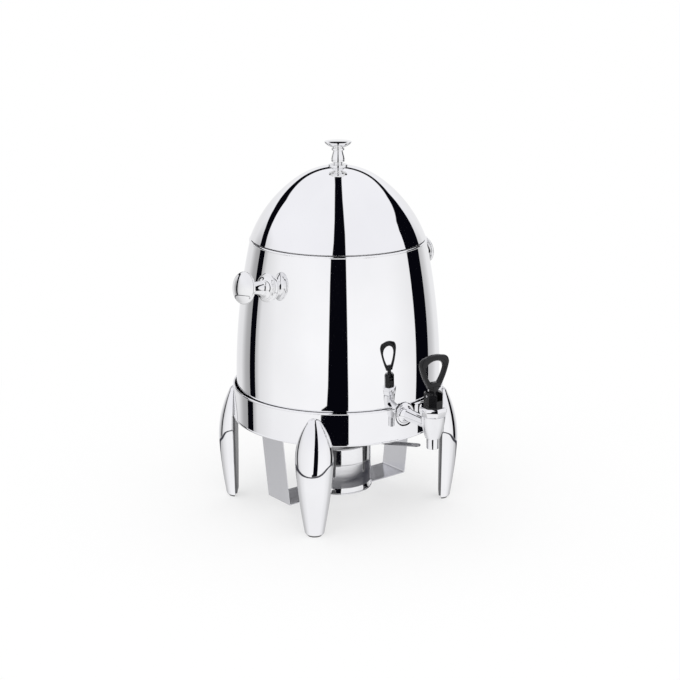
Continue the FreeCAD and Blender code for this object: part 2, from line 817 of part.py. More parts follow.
def make_tap_flange():
    r = tap_flange_radius
    low = tap_flange_in
    high = low + tap_flange_thick
    boss = tap_boss_radius
    hole = tap_shank_radius + 0.1
    return along_arm([
        (hole, low), (r - 0.6, low), (r, low + 0.8), arc_to((r - 0.7, high - 0.7), (r - 2.4, high)),
        (boss + 1.4, high), arc_to((boss - 0.4, high + 1.6), (boss - 1.2, high + 3.4)),
        (hole + 1.4, high + tap_boss_length), (hole, high + tap_boss_length),
    ])


def make_tap_spacer():
    """The bush between shell and flange; it lies in the ring's notch."""
    filled = vessel_solid(-0.1)
    bush = along_arm([
        (tap_shank_radius + 0.1, body_r(tap_arm_z) - 4), (tap_gasket_radius, body_r(tap_arm_z) - 4),
        (tap_gasket_radius, tap_flange_in), (tap_shank_radius + 0.1, tap_flange_in),
    ])
    return bush.cut(filled)


def wall_ring(inner_radius, outer_radius, near, far, tool):
    ring = along_arm([
        (inner_radius, near), (outer_radius, near), (outer_radius, far), (inner_radius, far),
    ])
    return ring.cut(tool)


def make_gap_bush():
    """The sleeve that fills the space between the liner and the outer shell."""
    inner_face = body_r(tap_arm_z) - shell_wall - liner_gap
    outer_face = body_r(tap_arm_z) - shell_wall
    ring = along_arm([
        (tap_shank_radius + 0.1, inner_face - 2), (tap_gasket_radius, inner_face - 2),
        (tap_gasket_radius, outer_face), (tap_shank_radius + 0.1, outer_face),
    ])
    keep = vessel_solid(shell_wall + 0.1).cut(vessel_solid(shell_wall + liner_gap - 0.1))
    return ring.common(keep)


def make_inner_gasket():
    flat = liner_inner - 0.6
    ring = along_arm([
        (tap_shank_radius + 0.1, flat - tap_gasket_thick), (tap_lock_nut_radius, flat - tap_gasket_thick),
        (tap_lock_nut_radius, flat + 4), (tap_shank_radius + 0.1, flat + 4),
    ])
    return ring.common(vessel_solid(shell_wall + liner_gap + liner_wall + 0.05))


def make_lock_nut():
    far = liner_inner - 0.6 - tap_gasket_thick
    corners = [V(tap_lock_nut_radius * math.cos(math.radians(60 * i)),
                 tap_lock_nut_radius * math.sin(math.radians(60 * i)), far - tap_lock_nut_thick) for i in range(7)]
    nut = Part.Face(Part.makePolygon(corners)).extrude(V(0, 0, tap_lock_nut_thick))
    nut = nut.cut(Part.makeCylinder(tap_shank_radius + screw_fit, 300, V(0, 0, 0)))
    nut.rotate(V(0, 0, 0), V(1, 0, 0), 90)
    nut.translate(V(0, 0, tap_arm_z))
    return nut


collar_top_z = tap_body_top_z + collar_height


def eight_sided(radius, low, high):
    """An eight-sided bar about the tap's axis, with flats to the front and the sides."""
    corners = []
    for i in range(bonnet_sides + 1):
        a = math.radians(360 / bonnet_sides * (i + 0.5))
        corners.append(V(radius * math.cos(a), radius * math.sin(a) - tap_reach, low))
    return Part.Face(Part.makePolygon(corners)).extrude(V(0, 0, high - low))


def make_collar():
    """The eight-sided gland nut, chamfered down to the tap's body."""
    r = collar_radius
    z = tap_body_top_z
    hole = bonnet_cavity_radius + 1.0
    blank = tap_turned([
        (hole, z), (tap_body_top_radius, z), (r, z + 7.5), (r, collar_top_z - 2.5),
        (r - 3.0, collar_top_z), (hole, collar_top_z),
    ])
    return blank.common(eight_sided(r, z, collar_top_z))


# The bonnet: an eight-sided black cap, slotted across its top for the lever's tongue.
bonnet_top_z = collar_top_z + bonnet_height


def make_bonnet():
    prism = eight_sided(bonnet_radius, collar_top_z, bonnet_top_z)
    dome = tap_turned([
        (0, collar_top_z - 1), (bonnet_radius + 2, collar_top_z - 1), (bonnet_radius + 2, bonnet_top_z - 4.5),
        (bonnet_radius - 3.2, bonnet_top_z), (0, bonnet_top_z),
    ])
    bonnet = prism.common(dome)
    bonnet.translate(outward(-tap_reach, 0))
    bonnet = bonnet.cut(Part.makeCylinder(bonnet_cavity_radius, 9.0, V(0, 0, collar_top_z - 1)))
    bonnet = bonnet.cut(Part.makeCylinder(stem_radius + stem_guide_gap, 40, V(0, 0, collar_top_z - 1)))
    slot = tongue_width / 2 + handle_slot_gap
    slot_floor = pivot_z - tongue_radius - 0.8
    bonnet = bonnet.cut(Part.makeBox(2 * slot, 60, 40, V(-slot, -30, slot_floor)))
    bonnet = bonnet.cut(rod(pivot_radius, V(-30, 0, pivot_z), V(30, 0, pivot_z)))
    bonnet.translate(outward(tap_reach, 0))
    return bonnet


def make_pivot_pin():
    half = bonnet_radius * math.cos(math.radians(180 / bonnet_sides)) - 0.6
    return rod(pivot_radius, V(-half, -tap_reach, pivot_z), V(half, -tap_reach, pivot_z))


def make_stem():
    """The valve rod: a shoulder for the spring below the bonnet and a plug end that carries the seal."""
    top = pivot_z - tongue_radius - stem_travel - 0.6
    shoulder = tap_seat_z + cup_seal_height + 1.0
    plug = tap_seat_z + 4.0
    return tap_turned([
        (0, plug), (stem_head_radius, plug), (stem_head_radius, plug + 2.0), (stem_radius, plug + 2.0),
        (stem_radius, shoulder), (spring_radius + 1.6, shoulder), (spring_radius + 1.6, shoulder + 1.6),
        (stem_radius, shoulder + 1.6), (stem_radius, top), (0, top),
    ])


def make_seat_cup():
    """The soft seal that closes the outlet, moulded round the stem's plug end."""
    low = tap_seat_z + 0.1
    r = cup_seal_radius
    plug = tap_seat_z + 4.0
    fit = screw_fit
    return tap_turned([
        (0, low), (tap_seat_bore + 1.5, low), (r, low + 4.5), (r, low + cup_seal_height - 2),
        (r - 1.5, low + cup_seal_height), (stem_radius + fit, low + cup_seal_height),
        (stem_radius + fit, plug + 2.0 + fit), (stem_head_radius + fit, plug + 2.0 + fit),
        (stem_head_radius + fit, plug - fit), (0, plug - fit),
    ])


def make_spring():
    """The closing spring, between the stem's shoulder and the bonnet's roof."""
    low = tap_seat_z + cup_seal_height + 1.0 + 1.6 + spring_end_gap + spring_wire
    high = collar_top_z + 8.0 - spring_end_gap - spring_wire
    pitch = (high - low) / spring_turns
    helix = Part.makeHelix(pitch, high - low, spring_radius)
    start = V(spring_radius, 0, 0)
    section = Part.Wire([Part.Circle(start, V(0, 1, pitch / (2 * math.pi * spring_radius)), spring_wire).toShape()])
    coil = Part.Wire(helix.Edges).makePipeShell([section], True, True)
    coil.translate(outward(tap_reach, low))
    return coil


# The lever: a black loop that stands across the tap, with a tongue down into the bonnet's slot.
def loop_outline(inset):
    """Half-width outline of the loop: wide and round at the top, narrow at the neck."""
    half = handle_width / 2 - inset
    top = handle_top_z - inset
    low = handle_loop_z + inset * handle_low_bar_share
    neck = handle_neck_width / 2 - inset * 0.75
    shoulder = top - 13.0
    right = [V(neck, 0, low), V(half, 0, shoulder), V(half * 0.62, 0, top - 2.4), V(0, 0, top)]
    low_arc = Part.Arc(right[0], V((neck + half) / 2 + 1.2, 0, (low + shoulder) / 2 - 1.5), right[1]).toShape()
    round_arc = Part.Arc(right[1], V(half - 2.0, 0, top - 6.0), right[2]).toShape()
    top_arc = Part.Arc(right[2], right[3], V(-right[2].x, 0, right[2].z)).toShape()
    left_round = Part.Arc(V(-right[2].x, 0, right[2].z), V(-half + 2.0, 0, top - 6.0), V(-half, 0, shoulder)).toShape()
    left_low = Part.Arc(V(-half, 0, shoulder), V(-(neck + half) / 2 - 1.2, 0, (low + shoulder) / 2 - 1.5),
                        V(-neck, 0, low)).toShape()
    base = Part.LineSegment(V(-neck, 0, low), V(neck, 0, low)).toShape()
    return Part.Wire([low_arc, round_arc, top_arc, left_round, left_low, base])


def make_handle():
    depth = handle_depth
    loop = Part.Face(loop_outline(0)).extrude(V(0, depth, 0))
    hole = Part.Face(loop_outline(handle_bar)).extrude(V(0, depth + 2, 0))
    hole.translate(V(0, -1, 0))
    loop = loop.cut(hole)
    loop.translate(V(0, -depth / 2, 0))
    clear = pivot_z + handle_neck_rise
    neck = Part.makeBox(handle_neck_width, depth, handle_loop_z - clear + 0.5,
                        V(-handle_neck_width / 2, -depth / 2, clear))
    tongue = Part.makeBox(tongue_width, 2 * tongue_radius, clear - pivot_z + 1,
                          V(-tongue_width / 2, -tongue_radius, pivot_z))
    eye = rod(tongue_radius, V(-tongue_width / 2, 0, pivot_z), V(tongue_width / 2, 0, pivot_z))
    handle = loop.fuse(neck).fuse(tongue).fuse(eye)
    handle = handle.cut(rod(pivot_radius + pivot_fit, V(-30, 0, pivot_z), V(30, 0, pivot_z))).removeSplitter()
    handle.translate(outward(tap_reach, 0))
    return handle


def build():
    save("ring_band", make_ring())
    leg = make_leg()
    plate = make_back_plate()
    pad = make_foot_pad()
    for name, angle in zip(leg_names, leg_angles):
        save("leg_" + name, at_angle(leg, angle))
        save("leg_back_plate_" + name, at_angle(plate, angle))
        save("foot_pad_" + name, at_angle(pad, angle))
    screws = [at_angle(make_leg_screw(z), angle) for angle in leg_angles for z in leg_screw_z]
    save("leg_screws", Part.makeCompound(screws))
    save("burner_shelf", make_shelf())
    save("shelf_rivets", Part.makeCompound([make_shelf_rivet(x, y) for x, y in rivet_places]))

    save("burner_can", make_burner_can())
    save("fuel_cup", make_fuel_cup())
    save("burner_cover", make_burner_cover())
    save("damper", make_damper())
    save("damper_rivet", make_damper_rivet())

    filled = vessel_solid(-0.05)
    save("outer_shell", make_outer_shell())
    save("base_ring", make_base_ring())
    save("inner_liner", make_liner())
    save("vessel_rim", make_rim())
    for name, side in (("left", -1), ("right", 1)):
        save("side_knob_flange_" + name, make_knob_flange(side, filled))
        save("side_knob_" + name, make_knob_head(side))
    save("side_knob_studs", Part.makeCompound([make_knob_stud(-1), make_knob_stud(1)]))
    save("side_knob_nuts", Part.makeCompound([make_knob_nut(-1), make_knob_nut(1)]))

    save("lid_dome", make_lid_dome())
    save("lid_rim_plate", make_lid_plate())
    save("lid_finial", make_finial())
    save("lid_finial_screw", make_finial_screw())
    save("lid_finial_washer", make_finial_washer())

    save("tap_body", make_tap_body())
    save("tap_flange", make_tap_flange())
    save("tap_spacer", make_tap_spacer())
    save("tap_wall_bush", make_gap_bush())
    save("tap_inner_gasket", make_inner_gasket())
    save("tap_lock_nut", make_lock_nut())
    save("tap_collar", make_collar())
    save("tap_bonnet", make_bonnet())
    save("tap_pivot_pin", make_pivot_pin())
    save("tap_stem", make_stem())
    save("tap_seat_cup", make_seat_cup())
    save("tap_spring", make_spring())
    save("tap_handle", make_handle())


build()
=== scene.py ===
import bpy, bmesh, math
from mathutils import Matrix, Vector


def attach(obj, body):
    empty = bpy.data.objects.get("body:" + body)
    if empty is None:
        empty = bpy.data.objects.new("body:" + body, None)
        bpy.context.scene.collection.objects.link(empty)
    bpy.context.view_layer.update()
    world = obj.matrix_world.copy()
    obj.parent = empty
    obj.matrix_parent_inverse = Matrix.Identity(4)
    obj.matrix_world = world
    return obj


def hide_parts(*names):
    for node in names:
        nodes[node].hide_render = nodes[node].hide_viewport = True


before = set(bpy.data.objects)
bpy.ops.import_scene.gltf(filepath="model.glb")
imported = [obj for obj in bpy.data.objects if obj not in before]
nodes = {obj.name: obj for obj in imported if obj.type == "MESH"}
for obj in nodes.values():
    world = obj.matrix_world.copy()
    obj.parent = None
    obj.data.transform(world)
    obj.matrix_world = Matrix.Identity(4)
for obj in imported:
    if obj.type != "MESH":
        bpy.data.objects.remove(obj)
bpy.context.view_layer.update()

# The camera stands left of the tap and looks a little down, as the photograph does.
scene = bpy.context.scene
scene.view_settings.view_transform = "Standard"
viewer = math.radians(-38.06)
camera_reach, camera_height, camera_dip = 2.197, 0.876, 15.96
eye = bpy.data.cameras.new("eye")
eye.lens = 81.05
eye.sensor_width = 36.0
eye.shift_x = 2 / 680
eye.clip_end = 100.0
camera = bpy.data.objects.new("camera", eye)
camera.location = (camera_reach * math.sin(viewer), -camera_reach * math.cos(viewer), camera_height)
camera.rotation_euler = (math.radians(90 - camera_dip), 0, viewer)
scene.collection.objects.link(camera)
scene.camera = camera


# The studio is a white tent with narrow dark gaps between its panels, which polished steel
# shows as upright dark bands. The camera itself sees plain white.
def node_math(tree, kind, *values):
    """Adds one sum to a node tree, from numbers and other nodes' outputs."""
    node = tree.nodes.new("ShaderNodeMath")
    node.operation = kind
    for socket, value in zip(node.inputs, values):
        if isinstance(value, (int, float)):
            socket.default_value = value
        else:
            tree.links.new(value, socket)
    return node.outputs[0]


def ramp(tree, value, stops):
    """Reads a shade off straight lines between (place, grey or colour) stops."""
    node = tree.nodes.new("ShaderNodeValToRGB")
    points = node.color_ramp.elements
    while len(points) < len(stops):
        points.new(0.5)
    for point, (place, grey) in zip(points, stops):
        point.position = place
        shade = grey if isinstance(grey, (tuple, list)) else (grey, grey, grey)
        point.color = (*shade, 1)
    tree.links.new(value, node.inputs["Fac"])
    return node.outputs["Color"]


def compass(stops, low=0.0, span=1.0):
    """Moves stops from degrees (-180 to 180) and levels to a ramp's places and shades."""
    return [((angle + 180) / 360, (level - low) / span) for angle, level in stops]


studio = bpy.data.worlds.new("studio")
studio.use_nodes = True
scene.world = studio
tent = studio.node_tree
tent.nodes.clear()
ways = tent.nodes.new("ShaderNodeTexCoord")
toward = tent.nodes.new("ShaderNodeVectorMath")
toward.operation = "DOT_PRODUCT"
toward.inputs[1].default_value = (math.sin(viewer), -math.cos(viewer), 0)
across = tent.nodes.new("ShaderNodeVectorMath")
across.operation = "DOT_PRODUCT"
across.inputs[1].default_value = (math.cos(viewer), math.sin(viewer), 0)
split = tent.nodes.new("ShaderNodeSeparateXYZ")
for node in (toward, across, split):
    tent.links.new(ways.outputs["Generated"], node.inputs[0])
turn = node_math(tent, "ARCTAN2", across.outputs["Value"], toward.outputs["Value"])
around = node_math(tent, "MULTIPLY_ADD", turn, 1 / (2 * math.pi), 0.5)
panel_light = [
    (-180, 0.90), (-140, 0.80), (-127, 0.45), (-119, 0.38), (-104, 0.55), (-99, 0.78), (-75, 0.93),
    (-30, 1.0), (60, 1.0), (96, 0.90), (122, 0.50), (132, 0.62), (145, 0.85), (180, 0.90),
]
panels = ramp(tent, around, compass(panel_light))
height = split.outputs["Z"]
lift = node_math(tent, "MULTIPLY", node_math(tent, "ARCSINE", height), 180 / math.pi)
over = node_math(tent, "ARCTAN2", height, toward.outputs["Value"])
over_place = node_math(tent, "MULTIPLY_ADD", over, 1 / (2 * math.pi), 0.5)


def edge_line(value, points):
    """A height or width read off straight lines between points (place in degrees, level)."""
    coded = ramp(tent, value, compass(points, -90, 180))
    return node_math(tent, "MULTIPLY_ADD", coded, 180, -90)


def between(value, low, high, soft):
    """1 between two edges, fading to 0 over a soft width outside each."""
    up = node_math(tent, "DIVIDE", node_math(tent, "SUBTRACT", value, low), soft)
    down = node_math(tent, "DIVIDE", node_math(tent, "SUBTRACT", high, value), soft)
    inside = node_math(tent, "MINIMUM", up, down)
    inside.node.use_clamp = True
    return inside


# Widths in hundredths of the way across, by the angle over the top from front (0) to back (180).
over_left = [(-180, -4), (-21, -31), (-19.2, -30), (-18.9, -21), (-14, -19.0), (7, -17), (41, -9.5),
             (62, -7.5), (115, -6), (145, -5), (180, -3)]
over_right = [(-180, 4), (-17, 19.5), (7, 18), (48, 15), (83, 9.5), (115, 6.5), (145, 5), (180, 3)]
middle_gap = between(node_math(tent, "MULTIPLY", across.outputs["Value"], 100),
                     edge_line(over_place, over_left), edge_line(over_place, over_right), 1.0)
middle_gap = node_math(tent, "MULTIPLY", middle_gap, between(over, -1.0, 2.95, 0.05))

# Two more gaps stand to the left and the right: their low and high edges, by the angle around.
left_top = [(-180, 29), (-150, 29), (-133, 31), (-128, 28), (-121, 23), (-111, 13), (-106.5, 1),
            (-105, -60), (180, -60)]
left_low = [(-180, 19), (-139, 18), (-128, 14), (-122, 9), (-117.5, 0), (-116, -50), (180, -50)]
right_top = [(-180, -60), (96.5, -60), (98.5, 14), (104, 26), (110, 30), (135, 32), (150, 30), (180, 29)]
right_low = [(-180, -50), (119, -50), (123, -4), (131, 8), (138, 19), (145, 24), (180, 20)]
left_gap = between(lift, edge_line(around, left_low), edge_line(around, left_top), 0.8)
right_gap = between(lift, edge_line(around, right_low), edge_line(around, right_top), 0.8)
dark = node_math(tent, "MAXIMUM", middle_gap, node_math(tent, "MAXIMUM", left_gap, right_gap))
upper = tent.nodes.new("ShaderNodeMapRange")
upper.inputs["From Min"].default_value = 2.0
upper.inputs["From Max"].default_value = 22.0
tent.links.new(lift, upper.inputs["Value"])


def mix(tree, factor, a, b, kind="MIX"):
    """Mixes two colours, each a tuple or another node's output."""
    node = tree.nodes.new("ShaderNodeMix")
    node.data_type = "RGBA"
    node.blend_type = kind
    for socket, value in ((node.inputs["Factor"], factor), (node.inputs["A"], a), (node.inputs["B"], b)):
        if isinstance(value, (int, float)):
            socket.default_value = value
        elif isinstance(value, tuple):
            socket.default_value = (*value, 1)
        else:
            tree.links.new(value, socket)
    return node.outputs["Result"]


# Below the table's edge, drawn as a dark line, the metal shows the pale table top.
walls = mix(tent, upper.outputs["Result"], panels, (0.93, 0.93, 0.95))
walls = mix(tent, dark, walls, (0.002, 0.002, 0.004))
under_light = [(-180, 0.35), (-150, 0.55), (-118, 0.62), (-95, 0.82), (-60, 0.97), (60, 0.97), (95, 0.85),
               (118, 0.62), (150, 0.55), (180, 0.35)]
table_light = ramp(tent, around, compass(under_light))
table_edge = between(lift, -23.0, -20.6, 0.5)
table_light = mix(tent, table_edge, table_light, (0.05, 0.05, 0.06))
above_floor = between(lift, -20.9, 91.0, 0.4)
shown = mix(tent, above_floor, table_light, walls)
shown = mix(tent, 1.0, shown, (0.982, 0.982, 1.0), "MULTIPLY")
path = tent.nodes.new("ShaderNodeLightPath")
shiny = node_math(tent, "MAXIMUM", path.outputs["Is Glossy Ray"], path.outputs["Is Transmission Ray"])
plain = mix(tent, shiny, (1.0, 1.0, 1.0), shown)
light = tent.nodes.new("ShaderNodeBackground")
tent.links.new(plain, light.inputs["Color"])
tent_out = tent.nodes.new("ShaderNodeOutputWorld")
tent.links.new(light.outputs[0], tent_out.inputs["Surface"])

# One soft lamp overhead gives the floor its faint shadow; the metal doesn't show it.
lamp_spot = (-0.7, -0.5, 2.6)
lamp = bpy.data.lights.new("overhead", "AREA")
lamp.energy = 10.0
lamp.size = 2.6
lamp_object = bpy.data.objects.new("overhead", lamp)
lamp_object.location = lamp_spot
lamp_object.rotation_euler = Vector(lamp_spot).to_track_quat("Z", "Y").to_euler()
lamp_object.visible_glossy = False
scene.collection.objects.link(lamp_object)

# The floor is a pale sheet that fades to white away from the urn.
sheet_mesh = bpy.data.meshes.new("floor")
sheet_half = 30
corners = [(-sheet_half, -sheet_half, 0), (sheet_half, -sheet_half, 0), (sheet_half, sheet_half, 0),
           (-sheet_half, sheet_half, 0)]
sheet_mesh.from_pydata(corners, [], [(0, 1, 2, 3)])
floor = bpy.data.objects.new("floor", sheet_mesh)
scene.collection.objects.link(floor)
floor.visible_glossy = False
paper = bpy.data.materials.new("floor_paper")
paper.use_nodes = True
tree = paper.node_tree
tree.nodes.clear()
spot = tree.nodes.new("ShaderNodeTexCoord")
reach = tree.nodes.new("ShaderNodeVectorMath")
reach.operation = "LENGTH"
tree.links.new(spot.outputs["Object"], reach.inputs[0])
fade = tree.nodes.new("ShaderNodeMapRange")
fade.inputs["From Min"].default_value = 0.30
fade.inputs["From Max"].default_value = 0.85
fade.inputs["To Min"].default_value = 0.6
tree.links.new(reach.outputs["Value"], fade.inputs["Value"])
matt = tree.nodes.new("ShaderNodeBsdfDiffuse")
matt.inputs["Color"].default_value = (0.93, 0.93, 0.93, 1)
glow = tree.nodes.new("ShaderNodeEmission")
blend = tree.nodes.new("ShaderNodeMixShader")
tree.links.new(fade.outputs["Result"], blend.inputs[0])
tree.links.new(matt.outputs[0], blend.inputs[1])
tree.links.new(glow.outputs[0], blend.inputs[2])
paper_out = tree.nodes.new("ShaderNodeOutputMaterial")
tree.links.new(blend.outputs[0], paper_out.inputs["Surface"])
sheet_mesh.materials.append(paper)


# The outer shell: one spun sheet of stainless steel, polished to a mirror, that narrows upwards.
# Its edge is tucked under the rolled rim above and into the base ring below.
def bow(a, b, c, steps=12):
    """Points on the arc from a through b to c."""
    ax, ay, bx, by, cx, cy = *a, *b, *c
    d = 2 * (ax * (by - cy) + bx * (cy - ay) + cx * (ay - by))
    ux = ((ax**2 + ay**2) * (by - cy) + (bx**2 + by**2) * (cy - ay) + (cx**2 + cy**2) * (ay - by)) / d
    uy = ((ax**2 + ay**2) * (cx - bx) + (bx**2 + by**2) * (ax - cx) + (cx**2 + cy**2) * (bx - ax)) / d
    r = math.hypot(ax - ux, ay - uy)
    first, last = math.atan2(ay - uy, ax - ux), math.atan2(cy - uy, cx - ux)
    sweep = (last - first) % (2 * math.pi)
    if (math.atan2(by - uy, bx - ux) - first) % (2 * math.pi) > sweep:
        sweep -= 2 * math.pi
    return [(ux + r * math.cos(first + sweep * i / steps), uy + r * math.sin(first + sweep * i / steps))
            for i in range(steps + 1)]


def finish_mesh(name, shape, place=None, sharp=32.0):
    """Turns a bmesh in millimetres into a smooth object with its place in its mesh."""
    bmesh.ops.remove_doubles(shape, verts=shape.verts, dist=0.0005)
    bmesh.ops.recalc_face_normals(shape, faces=shape.faces)
    mesh = bpy.data.meshes.new(name)
    shape.to_mesh(mesh)
    shape.free()
    mesh.transform(place or Matrix())
    mesh.transform(Matrix.Scale(0.001, 4))
    mesh.shade_smooth()
    mesh.set_sharp_from_angle(angle=math.radians(sharp))
    made = bpy.data.objects.new(name, mesh)
    scene.collection.objects.link(made)
    return made


def spun(name, outline, place=None, sides=200, sharp=32.0):
    """A closed outline of (radius, height) turned about the upright axis."""
    shape = bmesh.new()
    rings = []
    for i in range(sides):
        a = 2 * math.pi * i / sides
        rings.append([shape.verts.new((r * math.cos(a), r * math.sin(a), z)) for r, z in outline])
    for i in range(sides):
        one, two = rings[i], rings[(i + 1) % sides]
        for j in range(len(outline)):
            k = (j + 1) % len(outline)
            if outline[j][0] < 1e-6 and outline[k][0] < 1e-6:
                continue
            shape.faces.new((one[j], two[j], two[k], one[k]))
    return finish_mesh(name, shape, place, sharp)


body_radius, body_curve, widest_z = 152.0, 982.0, 190.0
shell_low, shell_top = 141.4, 401


def body_r(z):
    """The shell's outer radius at one height."""
    return body_radius - body_curve + math.sqrt(body_curve**2 - (z - widest_z) ** 2)


def wall(inset, low, high, steps=48):
    """Points up the vessel's wall, a little inside its outer face."""
    levels = [low + (high - low) * i / steps for i in range(steps + 1)]
    return [(body_r(z) - inset, z) for z in levels]


def steel(name, tint, rough, spread, grain=(18, 18, 18), wave=0.02):
    """Stainless steel: handling marks vary the gloss, and the sheet is very slightly uneven."""
    mat = bpy.data.materials.new(name)
    mat.use_nodes = True
    tree = mat.node_tree
    skin = tree.nodes["Principled BSDF"]
    skin.inputs["Metallic"].default_value = 1.0
    where = tree.nodes.new("ShaderNodeTexCoord")
    fit = tree.nodes.new("ShaderNodeMapping")
    fit.inputs["Scale"].default_value = grain
    tree.links.new(where.outputs["Object"], fit.inputs["Vector"])
    marks = tree.nodes.new("ShaderNodeTexNoise")
    marks.inputs["Scale"].default_value = 1.0
    marks.inputs["Detail"].default_value = 5.0
    tree.links.new(fit.outputs["Vector"], marks.inputs["Vector"])
    low = tuple(t * 0.955 for t in tint)
    shades = ramp(tree, marks.outputs["Fac"], [(0.35, low), (0.65, tint)])
    tree.links.new(shades, skin.inputs["Base Color"])
    gloss = tree.nodes.new("ShaderNodeMapRange")
    gloss.inputs["From Min"].default_value = 0.35
    gloss.inputs["From Max"].default_value = 0.70
    gloss.inputs["To Min"].default_value = rough
    gloss.inputs["To Max"].default_value = rough + spread
    tree.links.new(marks.outputs["Fac"], gloss.inputs["Value"])
    tree.links.new(gloss.outputs["Result"], skin.inputs["Roughness"])
    uneven = tree.nodes.new("ShaderNodeBump")
    uneven.inputs["Strength"].default_value = wave
    uneven.inputs["Distance"].default_value = 0.001
    tree.links.new(marks.outputs["Fac"], uneven.inputs["Height"])
    tree.links.new(uneven.outputs["Normal"], skin.inputs["Normal"])
    return mat


def dress(piece, mat, body=None, cad=None):
    """Gives a piece its finish, its body and the node it stands for."""
    piece.data.materials.clear()
    piece.data.materials.append(mat)
    if body:
        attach(piece, body)
    if cad:
        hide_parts(*([cad] if isinstance(cad, str) else cad))
    return piece


mirror = steel("mirror_steel", (0.955, 0.955, 0.96), 0.012, 0.022, (7, 7, 7), 0.012)
shell_line = wall(0, shell_low, shell_top) + wall(1.0, shell_low, shell_top)[::-1]
dress(spun("shell_skin", shell_line), mirror, "vessel", "outer_shell")

# The rim: a rolled steel hoop that joins the shell to the liner; the lid rests on it.
# Its inner edge is rounded, where the lid's skirt slides in.
rim_outer = body_r(shell_top)
rim_line = [(118, 401), (rim_outer - 0.3, 400.6)]
rim_line += bow((rim_outer - 0.1, 400.6), (rim_outer + 1.0, 402.3), (rim_outer - 1.0, 404), 12)
rim_line += [(119.2, 404)] + bow((119.2, 404), (118.35, 403.65), (118, 402.8), 5)[1:]
dress(spun("rim_hoop", rim_line), mirror, "vessel", "vessel_rim")

# The liner: a satin inner pot, spun to follow the shell with an air space between them.
# The base ring below it closes the gap and stands on the ring's flange.
satin = steel("satin_steel", (0.66, 0.66, 0.67), 0.26, 0.10, (10, 10, 190), 0.05)
turn_r = body_r(153.2)
liner_line = [(0, 147.2)] + bow((turn_r - 15, 147.2), (turn_r - 10.8, 149.0), (turn_r - 9, 153.2), 6)
liner_line += wall(9, 154, shell_top, 30) + wall(10, 154, shell_top, 30)[::-1]
liner_line += bow((turn_r - 10, 153.2), (turn_r - 11.8, 150.2), (turn_r - 15, 148.6), 6) + [(0, 148.6)]
dress(spun("liner_pot", liner_line, sides=120), satin, "vessel", "inner_liner")
foot_edge = body_r(shell_low)
base_line = [(141, 140.4), (foot_edge, 140.4), (foot_edge, 141.4), (141.4, 141.4), (138.4, 147.2),
             (105, 147.2), (105, 146.2), (138, 146.2)]
dress(spun("base_hoop", base_line, sides=120), satin, "vessel", "base_ring")

# The lid: a spun mirror dome with a slight crease at its shoulder. It sits on a flat plate, whose
# skirt drops into the vessel's mouth.
lid_edge, shoulder, lid_curve = (128.2, 405.8), (60.5, 492.0), 186.0


def swept(cx, cz, radius, start, end, steps):
    """Points along part of a circle, without its last."""
    angles = [start + (end - start) * i / steps for i in range(steps)]
    return [(cx + radius * math.cos(a), cz + radius * math.sin(a)) for a in angles]


def dome_line(inset, steps=40):
    """The dome's outline from its edge to its crown, a little inside its outer face."""
    sx, sz, ex, ez = *lid_edge, *shoulder
    span = math.hypot(sx - ex, ez - sz)
    drop = math.sqrt(lid_curve**2 - (span / 2) ** 2)
    cx = (sx + ex) / 2 - drop * (ez - sz) / span
    cz = (sz + ez) / 2 + drop * (ex - sx) / span
    low, high = math.atan2(sz - cz, sx - cx), math.atan2(ez - cz, ex - cx)
    crown = ex / math.cos(high)
    crown_z = ez - crown * math.sin(high)
    line = swept(cx, cz, lid_curve - inset, low, high, steps)
    line += swept(0, crown_z, crown - inset, high, math.pi / 2, steps)
    return line + [(0, crown_z + crown - inset)]


dome_outer, dome_inner = dome_line(0), dome_line(1.2)
dress(spun("lid_skin", dome_outer + dome_inner[::-1]), mirror, "lid", "lid_dome")
plate_line = [(116.2, 392), (117.2, 392), (117.2, 404), (121.7, 404), (121.7, 408), (125.4, 408),
              (125.0, 409.2), (120.5, 409.2), (120.5, 405.2), (116.2, 405.2)]
dress(spun("lid_plate", plate_line), satin, "lid", "lid_rim_plate")

# The finial: a turned metal knob with a collar, a waisted neck, a bead and a wide saucer top.
# Its outline starts from the crown of the dome.
top_z = dome_outer[-1][1]
polished = steel("turned_metal", (0.92, 0.92, 0.92), 0.02, 0.03, (60, 60, 60), 0.012)
knob_line = [(0, -0.2), (14.5, -1.0), (14.5, -0.2)] + bow((14.5, -0.2), (13.9, 0.8), (12.1, 1.0), 4)[1:]
knob_line += bow((7.2, 1.6), (6.2, 2.6), (6.6, 3.6), 5)
knob_line += [(9.6, 5.4), (10.2, 6.0), (10.2, 7.2), (9.4, 7.7), (9.4, 8.0), (10.2, 8.6)]
knob_line += bow((10.2, 8.6), (8.8, 14.5), (7.0, 20.6), 10)[1:]
knob_line += bow((7.6, 21.2), (9.7, 23.2), (7.8, 25.2), 8)
knob_line += bow((7.8, 26.0), (14.5, 28.4), (19.4, 32.4), 10)
knob_line += bow((19.6, 32.6), (20.0, 33.3), (19.0, 34.1), 4)
knob_line += [(14, 34.55), (8, 34.85), (0, 35.0)]
finial = spun("finial_turning", knob_line, Matrix.Translation((0, 0, top_z)), 96)
dress(finial, polished, "lid", "lid_finial")

